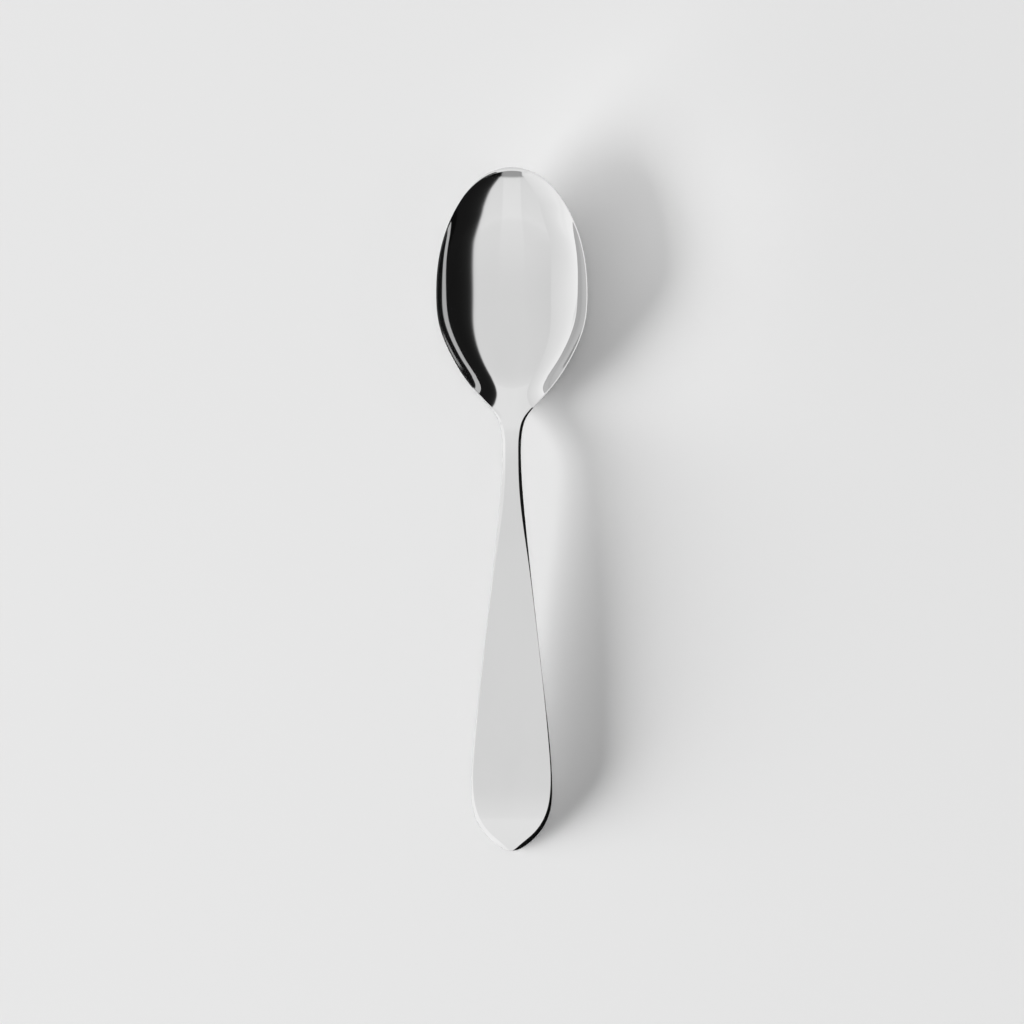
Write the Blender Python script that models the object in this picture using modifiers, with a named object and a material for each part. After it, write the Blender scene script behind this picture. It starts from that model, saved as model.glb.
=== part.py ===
"""Serving spoon, polished steel: a thin pressed bowl and a bevelled bar handle.

The spoon lies as it rests on a table: bowl up, +Z up, length along Y with the
bowl towards +Y, width along X. The origin is on the table under the middle of
the spoon. Tables below are in millimetres; the meshes are in metres.
"""
import bpy
import bmesh
import numpy as np

# ---------------------------------------------------------------- dimensions
MM = 0.001
LENGTH = 230.0            # overall length
FRONT_Y = LENGTH / 2      # front lip of the bowl
TIP_Y = -LENGTH / 2       # point of the handle
WELD_Y = 19.55            # narrowest neck section, where bowl and handle meet
WELD_GAP = 0.3            # clearance between the two end faces
FLOOR_T = 1.2             # sheet thickness at the bottom of the bowl
REST_FLAT = 0.1           # depth ground off the underside to make the rest flat

# plan outline of the bowl and its tang, right half: (half width, y)
BOWL_OUTLINE = [
    (0.00, FRONT_Y), (8.02, 112.93), (14.16, 107.93), (19.47, 100.00),
    (23.86, 87.90), (25.40, 73.80), (24.33, 62.10), (20.33, 52.10),
    (13.93, 42.10), (8.30, 35.80), (4.78, 31.10), (3.46, 26.30),
    (3.08, WELD_Y)]
# plan outline of the handle at its widest edge, and of its flat top face
BAR_OUTLINE = [
    (3.08, WELD_Y), (3.42, 10.10), (4.23, 0.10), (5.93, -16.70),
    (8.17, -36.90), (10.83, -60.40), (12.97, -80.60), (13.60, -94.20),
    (12.62, -102.40), (9.36, -108.60), (5.12, -112.80), (0.00, TIP_Y)]
FACE_OUTLINE = [
    (2.15, WELD_Y), (2.33, 10.10), (3.14, 0.10), (5.48, -16.70),
    (8.02, -36.90), (10.66, -60.40), (12.56, -80.60), (12.93, -94.20),
    (11.32, -102.40), (7.48, -108.60), (2.82, -112.80), (0.00, TIP_Y)]
# slope of the top centreline: (y, rise per millimetre towards +Y)
TOP_SLOPE = [
    (-115.0, 0.470), (-104.8, 0.285), (-97.8, 0.145), (-92.0, 0.058),
    (-84.0, 0.042), (-20.0, 0.032), (3.0, -0.005), (11.8, -0.075),
    (17.5, -0.180), (28.0, -0.330), (33.0, -0.400), (38.5, -0.395),
    (41.5, -0.310), (44.1, -0.170), (47.5, -0.040), (53.0, 0.000),
    (66.0, 0.000), (85.2, 0.200), (97.9, 0.345), (105.0, 0.470),
    (113.85, 0.700), (115.0, 0.730)]
LEVEL_Y = 60.0            # a place on the level floor of the bowl
# height of the bowl's rim above the table: (y, height); it leaves the tang
# at the first place below and runs out into the front lip at the second
RIM_LINE = [(37.0, 6.0), (42.0, 7.8), (50.0, 9.4), (60.0, 11.0), (80.0, 12.0), (100.0, 12.5)]
WALL_FROM, WALL_TO = 30.0, 113.85
# share of the steep outer term in the wall's section, and its exponent,
# which grows evenly from the heel to the front
WALL_SHARE = [(33.0, 0.0), (50.0, 0.45), (70.0, 0.3), (90.0, 0.24), (102.0, 0.05), (113.85, 0.0)]
WALL_POWER, POWER_GAIN, POWER_FROM = 4.0, 0.13, 45.0
# width of the rim, and of the bevel along the tang
EDGE_WIDTH = [
    (WELD_Y, 0.93), (24.0, 0.97), (28.7, 0.95), (33.5, 0.56), (37.0, 0.38),
    (52.0, 0.36), (88.0, 0.36), (100.0, 0.38), (108.0, 0.50), (112.5, 0.80), (115.0, 1.15)]
# how much higher the rim is outside than inside, and the height of its side
LIP_RISE = [
    (WELD_Y, 0.00), (37.0, 0.00), (43.0, 0.20), (52.0, 0.22), (88.0, 0.22),
    (100.0, 0.23), (108.0, 0.25), (115.0, 0.25)]
RIM_DEPTH = [(30.0, 0.00), (40.0, 0.50), (100.0, 0.55), (115.0, 0.60)]
BEVEL = 0.84              # slope of the bevel along the handle and the tang
BEVEL_FADE = (30.5, 38.0) # the bevel runs out into the rim between these
# vertical thickness under the top centreline: (y, thickness)
THICKNESS = [
    (-115.0, 2.10), (-108.0, 2.15), (-95.0, 2.30), (-60.0, 2.55), (-10.0, 2.90),
    (WELD_Y, 3.00), (28.0, 2.75), (36.0, 2.05), (45.0, 1.50), (52.0, FLOOR_T + REST_FLAT),
    (75.0, FLOOR_T + REST_FLAT), (100.0, 1.25), (113.85, 1.00), (115.0, 0.95)]
# how boxy the underside is: share of the steep term, and its exponent
UNDER_SHARE = [
    (-115.0, 1.00), (27.0, 1.00), (33.0, 0.80), (40.0, 0.42), (52.0, 0.40),
    (70.5, 0.35), (91.0, 0.25), (104.3, 0.12), (115.0, 0.0)]
UNDER_POWER = [(-115.0, 9.0), (27.0, 9.0), (38.0, 6.0), (115.0, 6.0)]

BOWL_RIBS = 58            # ribs from the weld round to the front lip
BOWL_STEPS = 11           # steps from the spine to the rim
FAN_Y = 60.0              # ribs square to the spine below this, fanned above
POLE_Y = 101.0            # where the last rib leaves the spine
BAR_STATIONS = 46
BAR_STEPS = 7

STEEL_BOWL = (0.60, 0.60, 0.61, 1.0)
STEEL_BAR = (0.59, 0.59, 0.60, 1.0)


# ---------------------------------------------------------------- curves
def hermite(k, v, m, x):
    """Cubic Hermite curve through (k, v) with slopes m, read at x."""
    x = np.asarray(x, dtype=float)
    i = np.clip(np.searchsorted(k, x, side="right") - 1, 0, len(k) - 2)
    h = k[i + 1] - k[i]
    t = (x - k[i]) / h
    return ((1 + 2 * t) * (1 - t) ** 2 * v[i] + t * (1 - t) ** 2 * h * m[i]
            + t * t * (3 - 2 * t) * v[i + 1] + t * t * (t - 1) * h * m[i + 1])


def fair_slopes(k, v, start, end):
    """Slopes that make the curve through (k, v) smooth to its curvature."""
    n = len(k)
    a = np.zeros((n, n))
    b = np.zeros(n)
    h = np.diff(k)
    d = np.diff(v) / h
    a[0, 0] = a[-1, -1] = 1.0
    b[0], b[-1] = start, end
    for i in range(1, n - 1):
        a[i, i - 1] = h[i]
        a[i, i] = 2 * (h[i - 1] + h[i])
        a[i, i + 1] = h[i - 1]
        b[i] = 3 * (h[i] * d[i - 1] + h[i - 1] * d[i])
    return np.linalg.solve(a, b)


def plan_curve(points, start, end, count=4000):
    """Smooth plan curve through points, with unit tangents at its ends."""
    p = np.array(points, dtype=float)
    k = np.concatenate([[0.0], np.cumsum(np.hypot(*np.diff(p, axis=0).T))])
    s = np.linspace(0.0, k[-1], count)
    x = hermite(k, p[:, 0], fair_slopes(k, p[:, 0], start[0], end[0]), s)
    y = hermite(k, p[:, 1], fair_slopes(k, p[:, 1], start[1], end[1]), s)
    return s, x, y


def table(rows, y):
    """Even curve through a table's rows that never overshoots them."""
    r = np.array(rows, dtype=float)
    k, v = r[:, 0], r[:, 1]
    d = np.diff(v) / np.diff(k)
    m = np.zeros(len(k))
    m[0], m[-1] = d[0], d[-1]
    for i in range(1, len(k) - 1):
        if d[i - 1] * d[i] > 0:
            m[i] = 2 * d[i - 1] * d[i] / (d[i - 1] + d[i])
    return hermite(k, v, m, np.clip(y, k[0], k[-1]))


def fair_table(rows, y, start, end):
    """Curve through a table's rows that is smooth to its curvature."""
    r = np.array(rows, dtype=float)
    m = fair_slopes(r[:, 0], r[:, 1], start, end)
    return hermite(r[:, 0], r[:, 1], m, np.clip(y, r[0, 0], r[-1, 0]))


def step(a, b, x):
    """Smooth step from 0 at a to 1 at b."""
    t = np.clip((np.asarray(x, dtype=float) - a) / (b - a), 0.0, 1.0)
    return t * t * t * (t * (6 * t - 15) + 10)


# ---------------------------------------------------------------- the shape
_grid = np.arange(-11500, 11501) * 0.01
_slope = table(TOP_SLOPE, _grid)
_rise = np.concatenate([[0.0], np.cumsum((_slope[1:] + _slope[:-1]) * 0.005)])
_rise += FLOOR_T - np.interp(LEVEL_Y, _grid, _rise)

_bs, _bx, _by = plan_curve(BOWL_OUTLINE, (1, 0), (0, -1))
_hs, _hx, _hy = plan_curve(BAR_OUTLINE, (0, -1), (-1, 0))
_fs, _fx, _fy = plan_curve(FACE_OUTLINE, (0, -1), (-0.89, -0.45))


def top_line(y):
    return np.interp(y, _grid, _rise)


def under_line(y):
    t = table(THICKNESS, y)
    return top_line(y) - t


def half_width(y):
    """Half width of the outline, over the whole spoon."""
    y = np.asarray(y, dtype=float)
    bowl = np.interp(y, _by[::-1], _bx[::-1])
    bar = np.interp(y, _hy[::-1], _hx[::-1])
    return np.where(y >= WELD_Y, bowl, bar)


def face_half_width(y):
    return np.interp(y, _fy[::-1], _fx[::-1])


# the rim's inner edge: the outline moved inwards by the edge width
_tx, _ty = np.gradient(_bx, _bs), np.gradient(_by, _bs)
_tl = np.hypot(_tx, _ty)
_w = table(EDGE_WIDTH, _by)
_ix = np.maximum(_bx + _w * _ty / _tl, 0.0)
_iy = _by - _w * _tx / _tl
_ix[0], _iy[0] = 0.0, FRONT_Y - _w[0]


def inner_half_width(y):
    return np.interp(y, _iy[::-1], _ix[::-1])


def wall_rise(y):
    ends = np.array([WALL_FROM, WALL_TO])
    (z0, z1), (m0, m1) = top_line(ends), table(TOP_SLOPE, ends)
    rows = [(WALL_FROM, z0)] + RIM_LINE + [(WALL_TO, z1)]
    r = fair_table(rows, y, m0, m1 - 0.42) - top_line(np.clip(y, WALL_FROM, WALL_TO))
    return np.where(np.asarray(y) <= WALL_FROM, 0.0, np.maximum(r, 0.0))


def top_height(x, y):
    """Height of the upper surface: the bowl's inside, the tang's flat top."""
    u = np.minimum(np.abs(x) / np.maximum(inner_half_width(y), 1e-6), 1.0)
    b = table(WALL_SHARE, y)
    n = WALL_POWER + POWER_GAIN * np.maximum(np.asarray(y) - POWER_FROM, 0.0)
    return top_line(y) + wall_rise(y) * ((1 - b) * u ** 2 + b * u ** n)


# the bevel keeps one steepness all round, also where the face itself slopes
_hw = half_width(_grid)
_flare = np.gradient(_hw, _grid)
_cos = 1.0 / np.hypot(1.0, _flare)
_steep = np.sqrt(np.maximum(BEVEL ** 2 - (_slope * _cos) ** 2, 0.0)) - _slope * _flare * _cos
_bevel = _steep * np.where(
    _grid > WELD_Y, table(EDGE_WIDTH, _grid) * (1 - step(*BEVEL_FADE, _grid)),
    np.maximum(_hw - face_half_width(_grid), 0.0) * _cos)


def edge_height(y):
    """Height of the inner rim of the bowl, or of the foot of the bevel."""
    return top_line(y) + wall_rise(y) - np.interp(y, _grid, _bevel)


def outer_edge(y):
    """Height of the outer edge: the rim stays level across the front lip."""
    y = np.asarray(y, dtype=float)
    inner_front = WALL_TO
    return edge_height(np.minimum(y, inner_front)) + table(LIP_RISE, y)


def under_height(x, y):
    """Height of the underside, ground flat where it meets the table."""
    u = np.minimum(np.abs(x) / np.maximum(half_width(y), 1e-6), 1.0)
    b = table(UNDER_SHARE, y)
    n = table(UNDER_POWER, y)
    low = under_line(y)
    rim = outer_edge(y) - table(RIM_DEPTH, y)
    z = low + (rim - low) * ((1 - b) * u ** 2 + b * u ** n)
    return np.maximum(z, 0.0)


# ---------------------------------------------------------------- meshes
class Half:
    """Right half of one solid, lofted row by row and left open at X = 0."""

    def __init__(self):
        self.verts = []
        self.faces = []

    def row(self, xs, ys, zs):
        """A row of points from the middle outwards: returns their indices."""
        first = len(self.verts)
        self.verts += [(x * MM, y * MM, z * MM) for x, y, z in zip(xs, ys, zs)]
        return list(range(first, len(self.verts)))

    def quad(self, *corners):
        loop = list(dict.fromkeys(corners))
        if len(loop) > 2:
            self.faces.append(loop)

    def strip(self, a, b):
        """Faces between two rows with equal counts."""
        for j in range(len(a) - 1):
            self.quad(a[j], a[j + 1], b[j + 1], b[j])

    def build(self, name, color, rough, collection):
        mesh = bpy.data.meshes.new(name)
        mesh.from_pydata(self.verts, [], self.faces)
        bm = bmesh.new()
        bm.from_mesh(mesh)
        bmesh.ops.recalc_face_normals(bm, faces=bm.faces)
        bmesh.ops.triangulate(bm, faces=bm.faces)
        bm.to_mesh(mesh)
        bm.free()
        mesh.shade_smooth()
        mesh.set_sharp_from_angle(angle=0.6)
        obj = bpy.data.objects.new(name, mesh)
        collection.objects.link(obj)
        mirror = obj.modifiers.new("left_half", "MIRROR")
        mirror.use_axis = (True, False, False)
        mirror.use_clip = True
        mirror.merge_threshold = 1e-6
        mat = bpy.data.materials.new(name + "_steel")
        mat.use_nodes = True
        bsdf = mat.node_tree.nodes["Principled BSDF"]
        bsdf.inputs["Base Color"].default_value = color
        bsdf.inputs["Metallic"].default_value = 1.0
        bsdf.inputs["Roughness"].default_value = rough
        mesh.materials.append(mat)
        return obj


def make_bowl(collection):
    """Loft of ribs: square to the spine on the tang, fanned round the front."""
    half = Half()
    s = np.linspace(_bs[-1], 0.0, BOWL_RIBS + 1)
    ox, oy = np.interp(s, _bs, _bx), np.interp(s, _bs, _by)
    ix, iy = np.interp(s, _bs, _ix), np.interp(s, _bs, _iy)
    oy[0] = iy[0] = WELD_Y + WELD_GAP / 2
    ox[-1] = ix[-1] = 0.0
    first = int(np.argmax(oy > FAN_Y))
    v = 1 - (1 - np.linspace(0.0, 1.0, BOWL_STEPS + 1)) ** 1.25
    tops, lips, unders = [], [], []
    for i in range(BOWL_RIBS + 1):
        if i < first:
            ty, uy = iy[i], oy[i]
        else:
            f = (i - first + 1) / (BOWL_RIBS - first + 1)
            ty = iy[first - 1] + (POLE_Y - iy[first - 1]) * f
            uy = oy[first - 1] + (POLE_Y - oy[first - 1]) * f
        x, y = ix[i] * v, ty + (iy[i] - ty) * v
        top = half.row(x, y, top_height(x, y))
        x, y = ox[i] * v, uy + (oy[i] - uy) * v
        z = under_height(x, y)
        depth = float(table(RIM_DEPTH, oy[i]))
        z[-1] = outer_edge(oy[i]) - depth
        under = half.row(x, y, z)
        lip = under[-1:]
        if depth > 0.03:
            lip = half.row(ox[i:i + 1], oy[i:i + 1], outer_edge(oy[i:i + 1]))
        tops.append(top)
        lips.append(lip)
        unders.append(under)
    for i in range(BOWL_RIBS):
        half.strip(tops[i], tops[i + 1])
        half.strip(unders[i + 1], unders[i])
        for upper, lower in ((tops, lips), (lips, unders)):
            half.quad(upper[i][-1], lower[i][-1], lower[i + 1][-1], upper[i + 1][-1])
    half.strip(unders[0], tops[0])
    half.quad(tops[0][-1], unders[0][-1], lips[0][-1])
    return half.build("bowl", STEEL_BOWL, 0.05, collection)


def make_handle(collection):
    """Loft of square sections from the weld to the point."""
    half = Half()
    f = np.linspace(0.0, 1.0, BAR_STATIONS + 1)
    y0, y1 = WELD_Y - WELD_GAP / 2, TIP_Y + 0.01
    ys = y0 + (y1 - y0) * (1 - (1 - f) ** 1.6)
    v = 1 - (1 - np.linspace(0.0, 1.0, BAR_STEPS + 1)) ** 1.6
    flat = np.linspace(0.0, 1.0, BAR_STEPS + 1)
    tops, unders = [], []
    for y in ys:
        w, t = float(half_width(y)), float(face_half_width(y))
        x = min(t, 0.97 * w) * flat
        tops.append(half.row(x, np.full_like(x, y), np.full_like(x, top_line(y))))
        x = w * v
        z = under_height(x, np.full_like(x, y))
        z[-1] = edge_height(y)
        unders.append(half.row(x, np.full_like(x, y), z))
    for i in range(BAR_STATIONS):
        half.strip(tops[i], tops[i + 1])
        half.strip(unders[i + 1], unders[i])
        half.quad(tops[i][-1], unders[i][-1], unders[i + 1][-1], tops[i + 1][-1])
    half.strip(tops[0], unders[0])
    half.strip(unders[-1], tops[-1])
    return half.build("handle", STEEL_BAR, 0.06, collection)


def main():
    for obj in list(bpy.data.objects):
        bpy.data.objects.remove(obj, do_unlink=True)
    spoon = bpy.data.collections.new("serving_spoon")
    bpy.context.scene.collection.children.link(spoon)
    root = bpy.data.objects.new("spoon_frame", None)
    spoon.objects.link(root)
    for obj in (make_bowl(spoon), make_handle(spoon)):
        obj.parent = root


main()
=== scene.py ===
"""Looks of the serving spoon: fine mirror-polished steel on a pale surface.

The two pieces follow the same tables as the solids they stand for, with far
finer meshes, a rounded rim, crisp bevels with tiny ground edges, and normals
taken from the surfaces themselves, so that the reflections run clean.
Tables are in millimetres; the meshes are in metres.
"""
import math

import bpy
import numpy as np
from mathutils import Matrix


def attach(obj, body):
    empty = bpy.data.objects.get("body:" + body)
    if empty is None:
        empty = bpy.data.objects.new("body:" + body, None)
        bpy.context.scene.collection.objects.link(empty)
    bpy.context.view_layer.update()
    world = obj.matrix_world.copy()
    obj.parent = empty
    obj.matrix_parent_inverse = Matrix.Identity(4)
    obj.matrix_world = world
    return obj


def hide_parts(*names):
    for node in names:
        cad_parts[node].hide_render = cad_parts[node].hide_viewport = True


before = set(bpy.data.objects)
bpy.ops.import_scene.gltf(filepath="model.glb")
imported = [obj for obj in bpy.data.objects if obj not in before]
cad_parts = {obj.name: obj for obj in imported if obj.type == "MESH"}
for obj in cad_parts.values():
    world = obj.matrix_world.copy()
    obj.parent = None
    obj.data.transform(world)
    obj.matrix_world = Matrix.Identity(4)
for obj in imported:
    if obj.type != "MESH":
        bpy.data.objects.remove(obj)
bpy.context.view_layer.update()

# ---------------------------------------------------------------- dimensions
MM = 0.001
LENGTH = 230.0
FRONT_Y = LENGTH / 2
TIP_Y = -LENGTH / 2
WELD_Y = 19.55
FLOOR_T = 1.2
REST_FLAT = 0.1

BOWL_OUTLINE = [
    (0.00, FRONT_Y), (8.02, 112.93), (14.16, 107.93), (19.47, 100.00),
    (23.86, 87.90), (25.39, 73.80), (24.33, 62.10), (20.33, 52.10),
    (13.93, 42.10), (8.30, 35.80), (4.78, 31.10), (3.46, 26.30),
    (3.08, WELD_Y)]
BAR_OUTLINE = [
    (3.08, WELD_Y), (3.42, 10.10), (4.23, 0.10), (5.93, -16.70),
    (8.17, -36.90), (10.83, -60.40), (12.97, -80.60), (13.60, -94.20),
    (12.62, -102.40), (9.36, -108.60), (5.12, -112.80), (0.00, TIP_Y)]
FACE_OUTLINE = [
    (2.15, WELD_Y), (2.33, 10.10), (3.14, 0.10), (5.48, -16.70),
    (8.02, -36.90), (10.66, -60.40), (12.56, -80.60), (12.93, -94.20),
    (11.32, -102.40), (7.48, -108.60), (2.82, -112.80), (0.00, TIP_Y)]
TOP_SLOPE = [
    (-115.0, 0.470), (-104.8, 0.285), (-97.8, 0.145), (-92.0, 0.058),
    (-84.0, 0.042), (-20.0, 0.032), (3.0, -0.005), (11.8, -0.075),
    (17.5, -0.180), (28.0, -0.330), (33.0, -0.400), (38.5, -0.395),
    (41.5, -0.310), (44.1, -0.170), (47.5, -0.040), (53.0, 0.000),
    (66.0, 0.000), (85.2, 0.200), (97.9, 0.345), (105.0, 0.470),
    (113.85, 0.700), (115.0, 0.730)]
LEVEL_Y = 60.0
RIM_LINE = [(37.0, 6.0), (42.0, 7.8), (50.0, 9.4), (60.0, 11.0), (80.0, 12.0), (100.0, 12.5)]
WALL_FROM, WALL_TO = 30.0, 113.85
WALL_SHARE = [(33.0, 0.0), (50.0, 0.45), (70.0, 0.3), (90.0, 0.24), (102.0, 0.05), (113.85, 0.0)]
WALL_POWER, POWER_GAIN, POWER_FROM = 4.0, 0.13, 45.0
EDGE_WIDTH = [
    (WELD_Y, 0.93), (24.0, 0.97), (28.7, 0.95), (33.5, 0.56), (37.0, 0.38),
    (52.0, 0.36), (88.0, 0.36), (100.0, 0.38), (108.0, 0.50), (112.5, 0.80), (115.0, 1.15)]
LIP_RISE = [               # how much higher the rim is outside than inside
    (WELD_Y, 0.00), (37.0, 0.00), (43.0, 0.20), (52.0, 0.22), (88.0, 0.22),
    (100.0, 0.23), (108.0, 0.25), (115.0, 0.21)]
LIP_CROWN = [(36.0, 0.00), (104.0, 0.01), (110.0, 0.03), (113.0, 0.08), (115.0, 0.09)]
RIM_DEPTH = [(30.0, 0.00), (40.0, 0.50), (100.0, 0.55), (115.0, 0.60)]
BEVEL = 0.84               # slope of the bevel
BEVEL_FADE = (30.5, 38.0)  # the bevel runs out into the rim between these
THICKNESS = [
    (-115.0, 2.10), (-108.0, 2.15), (-95.0, 2.30), (-60.0, 2.55), (-10.0, 2.90),
    (WELD_Y, 3.00), (28.0, 2.75), (36.0, 2.05), (45.0, 1.50), (52.0, FLOOR_T + REST_FLAT),
    (75.0, FLOOR_T + REST_FLAT), (100.0, 1.25), (113.85, 1.00), (115.0, 0.95)]
UNDER_SHARE = [
    (-115.0, 1.00), (27.0, 1.00), (33.0, 0.80), (40.0, 0.42), (52.0, 0.40),
    (70.5, 0.35), (91.0, 0.25), (104.3, 0.12), (115.0, 0.0)]
UNDER_POWER = [(-115.0, 9.0), (27.0, 9.0), (38.0, 6.0), (115.0, 6.0)]
FAN_Y = 60.0
POLE_Y = 101.0

# the fine mesh
BOWL_RIBS = 300           # ribs from the weld round to the front lip
BAR_STATIONS = 300        # sections from the weld to the point
TOP_STEPS = 44            # steps from the middle to the edge of the upper side
UNDER_STEPS = 34          # steps from the edge back to the middle underneath
GROUND = 0.055            # radius of the tiny ground edges of the bevel
RIM_DROP = 0.10           # how far the rim's outer corner is rounded down
RIM_IN = 0.06             # how far inside the rim its rounding starts
ROUND_FROM, ROUND_TO = 33.5, 39.5   # the bevel turns into the round rim here


# ---------------------------------------------------------------- curves
def hermite(k, v, m, x):
    x = np.asarray(x, dtype=float)
    i = np.clip(np.searchsorted(k, x, side="right") - 1, 0, len(k) - 2)
    h = k[i + 1] - k[i]
    t = (x - k[i]) / h
    return ((1 + 2 * t) * (1 - t) ** 2 * v[i] + t * (1 - t) ** 2 * h * m[i]
            + t * t * (3 - 2 * t) * v[i + 1] + t * t * (t - 1) * h * m[i + 1])


def fair_slopes(k, v, start, end):
    n = len(k)
    a = np.zeros((n, n))
    b = np.zeros(n)
    h = np.diff(k)
    d = np.diff(v) / h
    a[0, 0] = a[-1, -1] = 1.0
    b[0], b[-1] = start, end
    for i in range(1, n - 1):
        a[i, i - 1] = h[i]
        a[i, i] = 2 * (h[i - 1] + h[i])
        a[i, i + 1] = h[i - 1]
        b[i] = 3 * (h[i] * d[i - 1] + h[i - 1] * d[i])
    return np.linalg.solve(a, b)


def plan_curve(points, start, end, count=4000):
    p = np.array(points, dtype=float)
    k = np.concatenate([[0.0], np.cumsum(np.hypot(*np.diff(p, axis=0).T))])
    s = np.linspace(0.0, k[-1], count)
    x = hermite(k, p[:, 0], fair_slopes(k, p[:, 0], start[0], end[0]), s)
    y = hermite(k, p[:, 1], fair_slopes(k, p[:, 1], start[1], end[1]), s)
    return s, x, y


def table(rows, y):
    r = np.array(rows, dtype=float)
    k, v = r[:, 0], r[:, 1]
    d = np.diff(v) / np.diff(k)
    m = np.zeros(len(k))
    m[0], m[-1] = d[0], d[-1]
    for i in range(1, len(k) - 1):
        if d[i - 1] * d[i] > 0:
            m[i] = 2 * d[i - 1] * d[i] / (d[i - 1] + d[i])
    return hermite(k, v, m, np.clip(y, k[0], k[-1]))


def fair_table(rows, y, start, end):
    r = np.array(rows, dtype=float)
    m = fair_slopes(r[:, 0], r[:, 1], start, end)
    return hermite(r[:, 0], r[:, 1], m, np.clip(y, r[0, 0], r[-1, 0]))


def step(a, b, x):
    t = np.clip((np.asarray(x, dtype=float) - a) / (b - a), 0.0, 1.0)
    return t * t * t * (t * (6 * t - 15) + 10)


# ---------------------------------------------------------------- the shape
_grid = np.arange(-11500, 11501) * 0.01
_slope = table(TOP_SLOPE, _grid)
_rise = np.concatenate([[0.0], np.cumsum((_slope[1:] + _slope[:-1]) * 0.005)])
_rise += FLOOR_T - np.interp(LEVEL_Y, _grid, _rise)

_bs, _bx, _by = plan_curve(BOWL_OUTLINE, (1, 0), (0, -1))
_hs, _hx, _hy = plan_curve(BAR_OUTLINE, (0, -1), (-1, 0))
_fs, _fx, _fy = plan_curve(FACE_OUTLINE, (0, -1), (-0.89, -0.45))

_tx, _ty = np.gradient(_bx, _bs), np.gradient(_by, _bs)
_tl = np.hypot(_tx, _ty)
_w = table(EDGE_WIDTH, _by)
_ix = np.maximum(_bx + _w * _ty / _tl, 0.0)
_iy = _by - _w * _tx / _tl
_ix[0], _iy[0] = 0.0, FRONT_Y - _w[0]


def top_line(y):
    return np.interp(y, _grid, _rise)


def under_line(y):
    return top_line(y) - table(THICKNESS, y)


def half_width(y):
    y = np.asarray(y, dtype=float)
    bowl = np.interp(y, _by[::-1], _bx[::-1])
    bar = np.interp(y, _hy[::-1], _hx[::-1])
    return np.where(y >= WELD_Y, bowl, bar)


def face_half_width(y):
    return np.interp(y, _fy[::-1], _fx[::-1])


def inner_half_width(y):
    return np.interp(y, _iy[::-1], _ix[::-1])


def wall_rise(y):
    ends = np.array([WALL_FROM, WALL_TO])
    (z0, z1), (m0, m1) = top_line(ends), table(TOP_SLOPE, ends)
    rows = [(WALL_FROM, z0)] + RIM_LINE + [(WALL_TO, z1)]
    r = fair_table(rows, y, m0, m1 - 0.42) - top_line(np.clip(y, WALL_FROM, WALL_TO))
    return np.where(np.asarray(y) <= WALL_FROM, 0.0, np.maximum(r, 0.0))


def top_height(x, y):
    u = np.minimum(np.abs(x) / np.maximum(inner_half_width(y), 1e-6), 1.0)
    b = table(WALL_SHARE, y)
    n = WALL_POWER + POWER_GAIN * np.maximum(np.asarray(y) - POWER_FROM, 0.0)
    return top_line(y) + wall_rise(y) * ((1 - b) * u ** 2 + b * u ** n)


# the bevel keeps one steepness all round, also where the face itself slopes
_hw = half_width(_grid)
_flare = np.gradient(_hw, _grid)
_cos = 1.0 / np.hypot(1.0, _flare)
_steep = np.sqrt(np.maximum(BEVEL ** 2 - (_slope * _cos) ** 2, 0.0)) - _slope * _flare * _cos
_bevel = _steep * np.where(_grid > WELD_Y, table(EDGE_WIDTH, _grid) * (1 - step(*BEVEL_FADE, _grid)),
                           np.maximum(_hw - face_half_width(_grid), 0.0) * _cos)


def edge_height(y):
    return top_line(y) + wall_rise(y) - np.interp(y, _grid, _bevel)


def outer_edge(y):
    y = np.asarray(y, dtype=float)
    inner_front = WALL_TO
    return edge_height(np.minimum(y, inner_front)) + table(LIP_RISE, y)


def under_height(x, y):
    u = np.minimum(np.abs(x) / np.maximum(half_width(y), 1e-6), 1.0)
    b = table(UNDER_SHARE, y)
    n = table(UNDER_POWER, y)
    low = under_line(y)
    rim = outer_edge(y) - table(RIM_DEPTH, y)
    z = low + (rim - low) * ((1 - b) * u ** 2 + b * u ** n)
    return np.maximum(z, 0.0)


# ---------------------------------------------------------------- sections
TOP_V = 1 - (1 - np.linspace(0.0, 1.0, TOP_STEPS + 1)) ** 1.25
UNDER_V = 1 - (1 - np.linspace(0.0, 1.0, UNDER_STEPS + 1)) ** 1.7


def bezier(points, count):
    """count points inside a Bezier curve, its ends left out."""
    t = (np.arange(count) + 1.0) / (count + 1.0)
    t = t[:, None]
    if len(points) == 3:
        a, b, c = points
        return (1 - t) ** 2 * a + 2 * t * (1 - t) * b + t * t * c
    a, b, c, d = points
    return ((1 - t) ** 3 * a + 3 * t * (1 - t) ** 2 * b
            + 3 * t * t * (1 - t) * c + t ** 3 * d)


def lerp(a, b, t):
    return a + (b - a) * t


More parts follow.
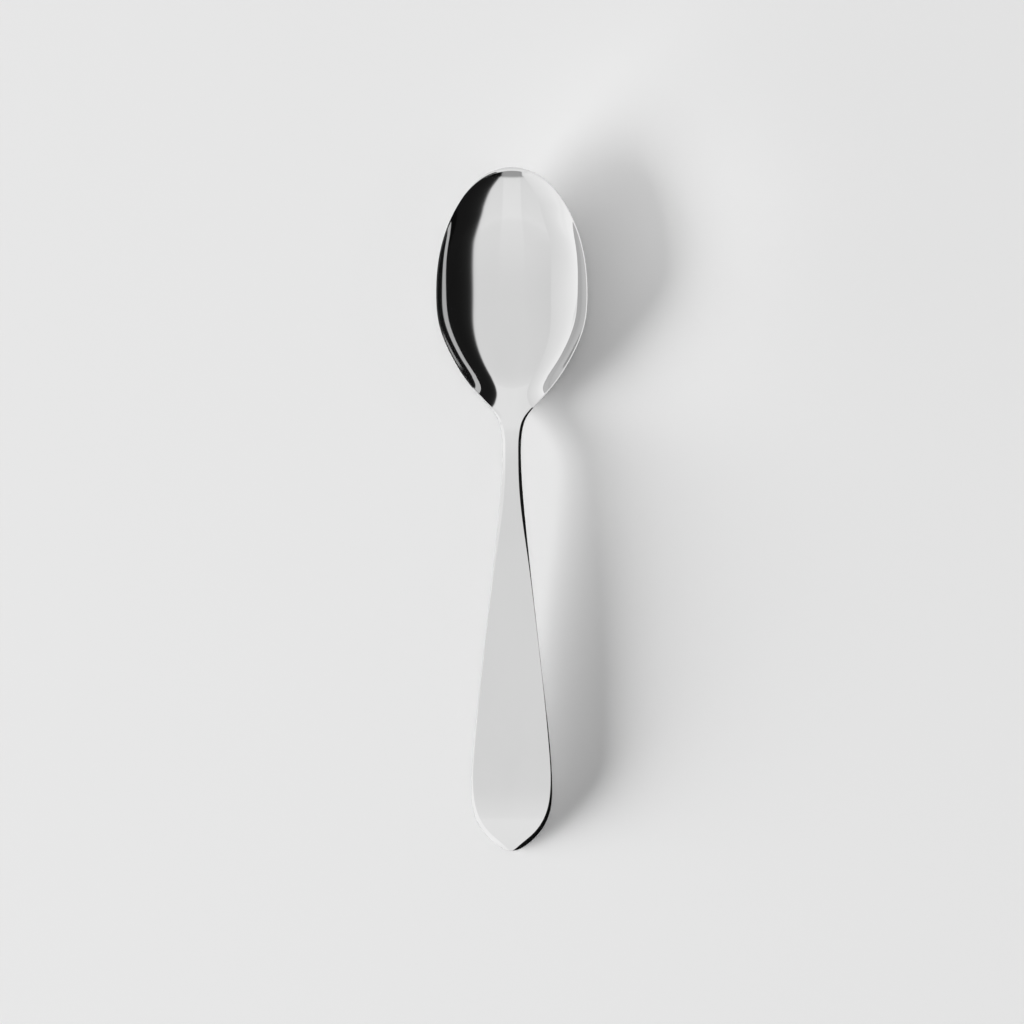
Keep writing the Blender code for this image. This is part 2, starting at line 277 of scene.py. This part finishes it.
def edge_points(inside, corner_in, corner_out, below, crown, round_share):
    """From the upper side round the edge to the underside.

    A crisp bevel with tiny ground edges on the bar, a rounded rim on the bowl.
    """
    across = corner_out - corner_in
    width = max(np.linalg.norm(across), 1e-6)
    g = min(GROUND, 0.3 * width)
    near = corner_in + across * (g / width)
    far = corner_out - across * (g / width)
    t = (np.arange(5) + 1.0)[:, None] / 6.0
    bevel = np.concatenate([
        inside[None], bezier((inside, corner_in, near), 2), near[None],
        near + (far - near) * t, far[None],
        bezier((far, corner_out, below), 3), below[None]])
    up = np.array([0.0, 0.0, 1.0])
    q = min(0.07, 0.25 * width)
    first = corner_in + across * (q / width)
    last = corner_out - across * (0.7 * q / width)
    side = corner_out - up * RIM_DROP
    t = (np.arange(3) + 1.0)[:, None] / 4.0
    rim = np.concatenate([
        inside[None], bezier((inside, corner_in, first), 2), first[None],
        first + (last - first) * t + up * (4 * crown) * t * (1 - t), last[None],
        bezier((last, corner_out, side), 3), side[None], (side + below)[None] / 2, below[None]])
    return lerp(bevel, rim, round_share)


def section(inner, outer, top_base, under_base, z_out):
    """One section from the middle of the top round to the middle underneath.

    inner and outer are the plan points of the edge's two corners; the bases
    are the places on the spine where the two sides of the section start.
    """
    (ix, iy), (ox, oy) = inner, outer
    share = float(step(ROUND_FROM, ROUND_TO, oy))
    reach = max(math.hypot(ix, iy - top_base), 1e-6)
    g = min(GROUND, 0.3 * max(math.hypot(ox - ix, oy - iy), 1e-6))
    start = 1.0 - min(lerp(g, RIM_IN, share), 0.3 * reach) / reach
    x, y = ix * TOP_V * start, top_base + (iy - top_base) * TOP_V * start
    upper = np.stack([x, y, top_height(x, y)], 1)
    reach = max(math.hypot(ox, oy - under_base), 1e-6)
    stop = 1.0 - min(lerp(g, 0.05, share), 0.3 * reach) / reach
    x, y = ox * UNDER_V[::-1] * stop, under_base + (oy - under_base) * UNDER_V[::-1] * stop
    lower = np.stack([x, y, under_height(x, y)], 1)
    c_in = np.array([ix, iy, float(top_height(np.array([ix]), np.array([iy]))[0])])
    c_out = np.array([ox, oy, z_out])
    edge = edge_points(upper[-1], c_in, c_out, lower[0], float(table(LIP_CROWN, oy)), share)
    return np.concatenate([upper, edge[1:-1], lower])


def bar_section(y):
    w, t = float(half_width(y)), float(face_half_width(y))
    t = min(t, w - min(0.02, 0.3 * w))
    return section((t, y), (w, y), y, y, float(edge_height(y)))


def bowl_sections():
    s = np.linspace(_bs[-1], 0.0, BOWL_RIBS + 1)
    ox, oy = np.interp(s, _bs, _bx), np.interp(s, _bs, _by)
    ix, iy = np.interp(s, _bs, _ix), np.interp(s, _bs, _iy)
    ox[-1] = ix[-1] = 0.0
    first = int(np.argmax(oy > FAN_Y))
    rows = [bar_section(WELD_Y)]
    for i in range(1, BOWL_RIBS + 1):
        if i < first:
            ty, uy = iy[i], oy[i]
        else:
            f = (i - first + 1) / (BOWL_RIBS - first + 1)
            ty = iy[first - 1] + (POLE_Y - iy[first - 1]) * f
            uy = oy[first - 1] + (POLE_Y - oy[first - 1]) * f
        rows.append(section((ix[i], iy[i]), (ox[i], oy[i]), ty, uy, float(outer_edge(oy[i]))))
    return np.array(rows)


def bar_sections():
    f = np.linspace(0.0, 1.0, BAR_STATIONS + 1)
    end = TIP_Y + 0.015
    ys = WELD_Y + (end - WELD_Y) * (1 - (1 - f) ** 1.9)
    return np.array([bar_section(y) for y in ys])


# ---------------------------------------------------------------- meshes
FLIP = np.array([-1.0, 1.0, 1.0])


def grid_normals(rows, before=None, after=None):
    """Normals of a half surface, its own mirror image across X = 0."""
    first = before if before is not None else 2 * rows[0] - rows[1]
    last = after if after is not None else 2 * rows[-1] - rows[-2]
    tall = np.concatenate([first[None], rows, last[None]])
    along = tall[2:] - tall[:-2]
    wide = np.concatenate([rows[:, 1:2] * FLIP, rows, rows[:, -2:-1] * FLIP], 1)
    across = wide[:, 2:] - wide[:, :-2]
    n = np.cross(across, along)
    return n / np.maximum(np.linalg.norm(n, axis=2, keepdims=True), 1e-12)


def build(name, rows, normals, closed_front, end_normal, far_normal=None):
    """A closed mesh from half sections: both sides, then the end faces."""
    count, steps = rows.shape[:2]
    verts, vnorm, index = [], [], {}
    right = np.zeros((count, steps), int)
    left = np.zeros((count, steps), int)
    for i in range(count):
        for k in range(steps):
            p, n = rows[i, k], normals[i, k]
            middle = k in (0, steps - 1) or (closed_front and i == count - 1)
            if middle:
                p, n = p * (0.0, 1.0, 1.0), n * (0.0, 1.0, 1.0)
            right[i, k] = left[i, k] = len(verts)
            verts.append(p * MM)
            vnorm.append(n)
            if not middle:
                left[i, k] = len(verts)
                verts.append(p * FLIP * MM)
                vnorm.append(n * FLIP)
    faces = []
    up = normals[count // 2, 0, 2] > 0
    for i in range(count - 1):
        for k in range(steps - 1):
            a, b, c, d = right[i, k], right[i, k + 1], right[i + 1, k + 1], right[i + 1, k]
            faces.append((a, b, c, d))
            a, b, c, d = left[i, k], left[i, k + 1], left[i + 1, k + 1], left[i + 1, k]
            faces.append((d, c, b, a))
    faces = [tuple(dict.fromkeys(f)) for f in faces]
    faces = [f for f in faces if len(f) > 2]
    caps = []
    ring = list(right[0]) + list(left[0][-2:0:-1])
    caps.append((ring, end_normal))
    if not closed_front:
        caps.append((list(right[-1]) + list(left[-1][-2:0:-1]), far_normal))
    verts, vnorm = np.array(verts), np.array(vnorm)
    loops = [list(vnorm[v]) for f in faces for v in f]
    plain = len(faces)
    for ring, n in caps:
        # wind each end face so that it faces outwards
        p = verts[ring] - verts[ring].mean(0)
        if np.dot(np.cross(p, np.roll(p, -1, 0)).sum(0), n) < 0:
            ring = ring[::-1]
        faces.append(tuple(ring))
        loops += [list(n)] * len(ring)
    mesh = bpy.data.meshes.new(name)
    mesh.from_pydata([tuple(v) for v in verts], [], faces)
    first = mesh.polygons[plain // 2]
    wanted = vnorm[list(faces[plain // 2])].mean(0)
    if sum(a * b for a, b in zip(first.normal, wanted)) < 0:
        raise RuntimeError(name + ": faces and normals disagree")
    mesh.shade_smooth()
    for i in range(plain, len(faces)):
        mesh.polygons[i].use_smooth = False
    mesh.normals_split_custom_set(loops)
    obj = bpy.data.objects.new(name, mesh)
    bpy.context.scene.collection.objects.link(obj)
    return obj


def make_spoon():
    bowl, bar = bowl_sections(), bar_sections()
    bowl_n = grid_normals(bowl, before=bar[1], after=bowl[-2] * FLIP)
    # both lists start at the weld, so the bar's normals come out turned in
    bar_n = -grid_normals(bar, before=bowl[1])
    bar_n[0] = bowl_n[0]
    bowl_piece = build("bowl_polished", bowl, bowl_n, True, (0.0, -1.0, 0.0))
    bar_piece = build("handle_polished", bar[::-1], bar_n[::-1], False,
                      (0.0, -1.0, 0.0), (0.0, 1.0, 0.0))
    return bowl_piece, bar_piece


# ---------------------------------------------------------------- materials
class Tree:
    """Small helper to write node trees."""

    def __init__(self, tree):
        self.tree = tree
        tree.nodes.clear()

    def node(self, kind, **props):
        n = self.tree.nodes.new(kind)
        for k, v in props.items():
            setattr(n, k, v)
        return n

    def put(self, socket, value):
        if isinstance(value, bpy.types.NodeSocket):
            self.tree.links.new(value, socket)
        else:
            socket.default_value = value

    def math(self, op, a, b=0.0, c=0.0, clamp=False):
        n = self.node("ShaderNodeMath", operation=op, use_clamp=clamp)
        for s, v in zip(n.inputs, (a, b, c)):
            self.put(s, v)
        return n.outputs[0]

    def range(self, value, a, b, lo, hi, kind="SMOOTHSTEP"):
        n = self.node("ShaderNodeMapRange", interpolation_type=kind)
        for s, v in zip(n.inputs, (value, a, b, lo, hi)):
            self.put(s, v)
        return n.outputs[0]

    def ramp(self, value, stops, kind="LINEAR"):
        """stops: (position 0 to 1, grey level)"""
        n = self.node("ShaderNodeValToRGB")
        n.color_ramp.interpolation = kind
        e = n.color_ramp.elements
        while len(e) < len(stops):
            e.new(1.0)
        for el, (p, v) in zip(e, stops):
            el.position = p
            el.color = (v, v, v, 1.0)
        self.put(n.inputs[0], value)
        return n.outputs[0]

    def mix(self, share, a, b):
        n = self.node("ShaderNodeMix", data_type="FLOAT")
        for s, v in zip((n.inputs[0], n.inputs[2], n.inputs[3]), (share, a, b)):
            self.put(s, v)
        return n.outputs[0]


def grey(v):
    return (v, v, v, 1.0)


def steel(name, seed):
    """Mirror-polished steel: faint buffing lines and smudges."""
    mat = bpy.data.materials.new(name)
    mat.use_nodes = True
    t = Tree(mat.node_tree)
    out = t.node("ShaderNodeOutputMaterial")
    bsdf = t.node("ShaderNodeBsdfPrincipled")
    t.tree.links.new(bsdf.outputs[0], out.inputs[0])
    place = t.node("ShaderNodeTexCoord").outputs["Object"]

    def noise(scale, detail, rough, stretch, offset):
        m = t.node("ShaderNodeMapping")
        m.inputs["Location"].default_value = (offset, seed, 0.0)
        m.inputs["Scale"].default_value = stretch
        t.put(m.inputs["Vector"], place)
        n = t.node("ShaderNodeTexNoise")
        t.put(n.inputs["Vector"], m.outputs[0])
        n.inputs["Scale"].default_value = scale
        n.inputs["Detail"].default_value = detail
        n.inputs["Roughness"].default_value = rough
        return n.outputs[0]

    smudge = noise(55.0, 3.0, 0.55, (1.0, 0.6, 1.0), 3.1)
    buff = noise(900.0, 2.0, 0.6, (1.0, 0.05, 1.0), 7.7)
    fine = noise(2600.0, 2.0, 0.5, (1.0, 0.03, 1.0), 1.3)
    colour = t.ramp(smudge, [(0.30, 0.592), (0.55, 0.602), (0.75, 0.606)])
    t.put(bsdf.inputs["Base Color"], colour)
    film = t.range(smudge, 0.42, 0.78, 0.030, 0.058)
    t.put(bsdf.inputs["Roughness"], t.math("MULTIPLY_ADD", buff, 0.022, film))
    bsdf.inputs["Metallic"].default_value = 1.0
    bump = t.node("ShaderNodeBump")
    bump.inputs["Strength"].default_value = 0.02
    bump.inputs["Distance"].default_value = 0.00002
    t.put(bump.inputs["Height"], fine)
    t.put(bsdf.inputs["Normal"], bump.outputs[0])
    return mat


# ---------------------------------------------------------------- surroundings
def linear(tone):
    c = tone / 255.0
    return c / 12.92 if c <= 0.04045 else ((c + 0.055) / 1.055) ** 2.4


STEEL = 0.60              # what the metal gives back of the light it mirrors
# the studio as the metal mirrors it: (angle in degrees, tone)
LEFT_WALL = [(-90, 238), (-80, 235.5), (-75, 233), (-70, 230.5), (-65, 228), (-60, 225), (-55, 222.5),
             (-50, 220), (-46, 217.8), (-43, 216), (-40, 214.5), (-37.2, 213), (-34, 211)]
LEFT_FAR = [(-60, 1.06), (-50, 1.06), (-46, 1.025), (-42, 1.0), (-34, 0.99), (-26, 0.985), (-20, 0.988), (-10, 1.004),
            (0, 1.008), (10, 0.992), (22, 0.98), (40, 0.975)]
LEFT_LOW = [(0, 0.988), (23, 0.985), (25.5, 0.87), (28, 0.84), (33, 0.86), (38, 0.895), (44, 0.945), (52, 0.965), (58, 1.0)]
RIGHT_DARK = [(30, 209), (32, 208), (33.2, 206), (34.2, 200), (35, 183), (36, 125), (37.2, 75), (38.5, 53), (40, 40),
              (42, 33), (44.5, 28.5), (48, 25.5), (52, 23), (60, 21.3), (90, 20.5)]
OVERHEAD = [(-66, 150), (-60.9, 152), (-59.9, 216.5), (-57, 219.5), (-52.8, 220.7), (-45.8, 222.3), (-39, 223),
            (-35.2, 223.3), (-33.5, 219.6), (-30.3, 218), (-26.1, 216.6), (-21.5, 214.6), (-18.3, 213), (-14.6, 211.6),
            (-10.8, 210.4), (-6.6, 209.7), (-3, 209), (0, 208.8), (10, 210), (20, 212), (30, 216), (35.5, 218),
            (38, 223), (60, 224)]
BESIDE = [(-60, 0.93), (-46, 0.933), (-39, 0.942), (-34.5, 0.958), (-30.3, 0.96), (-21.5, 0.98), (-14.6, 0.99),
          (-6.6, 0.995), (0, 1.0), (20, 1.0)]
AMBIENT = 0.282           # soft fill on the floor
BACKDROP = 0.79


def make_world():
    world = bpy.data.worlds.new("studio")
    world.use_nodes = True
    t = Tree(world.node_tree)
    out = t.node("ShaderNodeOutputWorld")
    way = t.node("ShaderNodeSeparateXYZ")
    t.put(way.inputs[0], t.node("ShaderNodeTexCoord").outputs["Generated"])
    x, y, height = way.outputs
    z = t.math("MAXIMUM", height, 0.002)
    deg = 180.0 / math.pi
    ay = t.math("MULTIPLY", t.math("ARCTAN2", y, z), deg)
    # the overhead panel narrows towards its far end
    beyond = t.math("MAXIMUM", t.math("SUBTRACT", t.math("DIVIDE", t.math("MULTIPLY", y, -1.0), z), 0.80), 0.0)
    narrow = t.math("MAXIMUM", t.math("MULTIPLY_ADD", beyond, -0.62, 1.0), 0.35)
    ax = t.math("MULTIPLY", t.math("ARCTAN2", x, t.math("MULTIPLY", z, narrow)), deg)

    raw = t.math("MULTIPLY", t.math("ARCTAN2", x, z), deg)

    def dial(v):
        return t.math("MULTIPLY_ADD", v, 1.0 / 180.0, 0.5, clamp=True)

    def level(v, rows):
        return t.ramp(dial(v), [((a + 90.0) / 180.0, linear(tone)) for a, tone in rows])

    def share(v, rows):
        return t.ramp(dial(v), [((a + 90.0) / 180.0, f / 1.2) for a, f in rows])

    # a bright strip runs down the middle of the panel
    side = t.range(t.math("ABSOLUTE", raw), 10.8, 12.4, 0.0, 1.0)
    beside = t.mix(side, 1.0, t.math("MULTIPLY", share(ay, BESIDE), 1.2))
    over = t.math("MULTIPLY", level(ay, OVERHEAD), beside)
    dip = t.math("MULTIPLY", t.range(ax, -10.0, -34.0, 0.0, 0.032, "LINEAR"), t.range(ay, -31.0, -25.0, 0.0, 1.0))
    over = t.math("MULTIPLY", over, t.math("SUBTRACT", 1.0, dip))
    low = t.mix(t.range(ax, -79.2, -77.2, 0.0, 1.0), t.math("MULTIPLY", share(ay, LEFT_LOW), 1.2), 0.988)
    far = t.mix(t.range(ax, -70.0, -60.0, 0.0, 1.0), low, t.math("MULTIPLY", share(ay, LEFT_FAR), 1.2))
    left = t.math("MULTIPLY", level(ax, LEFT_WALL), far)
    right = t.math("MULTIPLY", level(ax, RIGHT_DARK), t.math("DIVIDE", over, linear(209)))
    shade = t.mix(t.range(ax, -36.4, -35.5, 0.0, 1.0), left, over)
    shade = t.mix(t.range(ax, 29.0, 31.0, 0.0, 1.0), shade, right)
    # below the horizon the studio is as pale as its floor
    ground = t.range(height, -1.0, 0.0, linear(168), linear(222))
    shade = t.mix(t.range(height, -0.10, 0.0, 0.0, 1.0), ground, shade)

    path = t.node("ShaderNodeLightPath")
    mirrored = t.node("ShaderNodeBackground")
    t.put(mirrored.inputs[0], shade)
    mirrored.inputs[1].default_value = 1.0 / STEEL
    fill = t.node("ShaderNodeBackground")
    fill.inputs[0].default_value = grey(1.0)
    fill.inputs[1].default_value = AMBIENT
    drop = t.node("ShaderNodeBackground")
    drop.inputs[0].default_value = grey(1.0)
    drop.inputs[1].default_value = BACKDROP
    a = t.node("ShaderNodeMixShader")
    # light that only reaches the floor by way of the metal counts as fill
    first = t.math("LESS_THAN", path.outputs["Diffuse Depth"], 0.5)
    t.put(a.inputs[0], t.math("MULTIPLY", path.outputs["Is Glossy Ray"], first))
    t.tree.links.new(fill.outputs[0], a.inputs[1])
    t.tree.links.new(mirrored.outputs[0], a.inputs[2])
    b = t.node("ShaderNodeMixShader")
    t.put(b.inputs[0], path.outputs["Is Camera Ray"])
    t.tree.links.new(a.outputs[0], b.inputs[1])
    t.tree.links.new(drop.outputs[0], b.inputs[2])
    t.tree.links.new(b.outputs[0], out.inputs[0])
    bpy.context.scene.world = world


def make_floor():
    size = 6.0
    mesh = bpy.data.meshes.new("floor")
    mesh.from_pydata([(-size, -size, 0), (size, -size, 0), (size, size, 0), (-size, size, 0)], [], [(0, 1, 2, 3)])
    floor = bpy.data.objects.new("floor", mesh)
    bpy.context.scene.collection.objects.link(floor)
    floor.location.z = -0.00001
    mat = bpy.data.materials.new("floor_paint")
    mat.use_nodes = True
    bsdf = mat.node_tree.nodes["Principled BSDF"]
    bsdf.inputs["Base Color"].default_value = grey(0.80)
    bsdf.inputs["Roughness"].default_value = 1.0
    bsdf.inputs["Specular IOR Level"].default_value = 0.0
    mesh.materials.append(mat)


def softbox(name, turn, lift, away, wide, high, energy):
    """An oval softbox that faces the spoon; all angles in degrees."""
    data = bpy.data.lights.new(name, "AREA")
    data.shape = "ELLIPSE"
    data.size = 2 * away * math.tan(math.radians(wide))
    data.size_y = 2 * away * math.tan(math.radians(high))
    data.energy = energy
    box = bpy.data.objects.new(name, data)
    bpy.context.scene.collection.objects.link(box)
    turn, lift = math.radians(turn), math.radians(lift)
    box.location = (away * math.cos(lift) * math.cos(turn), away * math.cos(lift) * math.sin(turn),
                    away * math.sin(lift))
    box.rotation_euler = box.location.to_track_quat("Z", "Y").to_euler()
    box.visible_glossy = False
    box.visible_camera = False


def reflector(name, x, y, z, radius, energy):
    """A small round card that hangs level and throws light straight down."""
    data = bpy.data.lights.new(name, "AREA")
    data.shape = "DISK"
    data.size = 2 * radius * MM
    data.energy = energy
    card = bpy.data.objects.new(name, data)
    bpy.context.scene.collection.objects.link(card)
    card.location = (x * MM, y * MM, z * MM)
    card.visible_glossy = False
    card.visible_camera = False


def make_lights():
    """A long low softbox on the left and one overhead light the floor.

    Two cards open up the shadow beside the bowl. The metal mirrors the studio
    in the world instead.
    """
    softbox("key", 195.0, 5.0, 14.0, 27.0, 19.5, 11200.0)
    softbox("overhead", 90.0, 84.0, 14.0, 14.0, 14.0, 195.0)
    reflector("card_front", 56.0, 98.0, 44.0, 14.0, 0.0058)
    reflector("card_heel", 48.0, 62.0, 34.0, 14.0, 0.00113)


def make_camera():
    data = bpy.data.cameras.new("camera")
    data.sensor_fit = "AUTO"
    data.sensor_width = 36.0
    data.lens = 135.0
    data.clip_start, data.clip_end = 0.01, 50.0
    cam = bpy.data.objects.new("camera", data)
    bpy.context.scene.collection.objects.link(cam)
    cam.location = (0.05 * MM, -0.45 * MM, 1.2998)
    cam.rotation_euler = (0.0, 0.0, 0.0)
    bpy.context.scene.camera = cam


# ---------------------------------------------------------------- the scene
make_camera()
bowl_piece, handle_piece = make_spoon()
for piece, node, seed in ((bowl_piece, "bowl", 11.0), (handle_piece, "handle", 23.0)):
    piece.data.materials.append(steel("polished_steel_" + node, seed))
    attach(piece, "root")
    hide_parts(node)
make_world()
make_floor()
make_lights()
bpy.context.scene.view_settings.view_transform = "Standard"
bpy.context.scene.view_settings.look = "None"

bpy.context.view_layer.update()
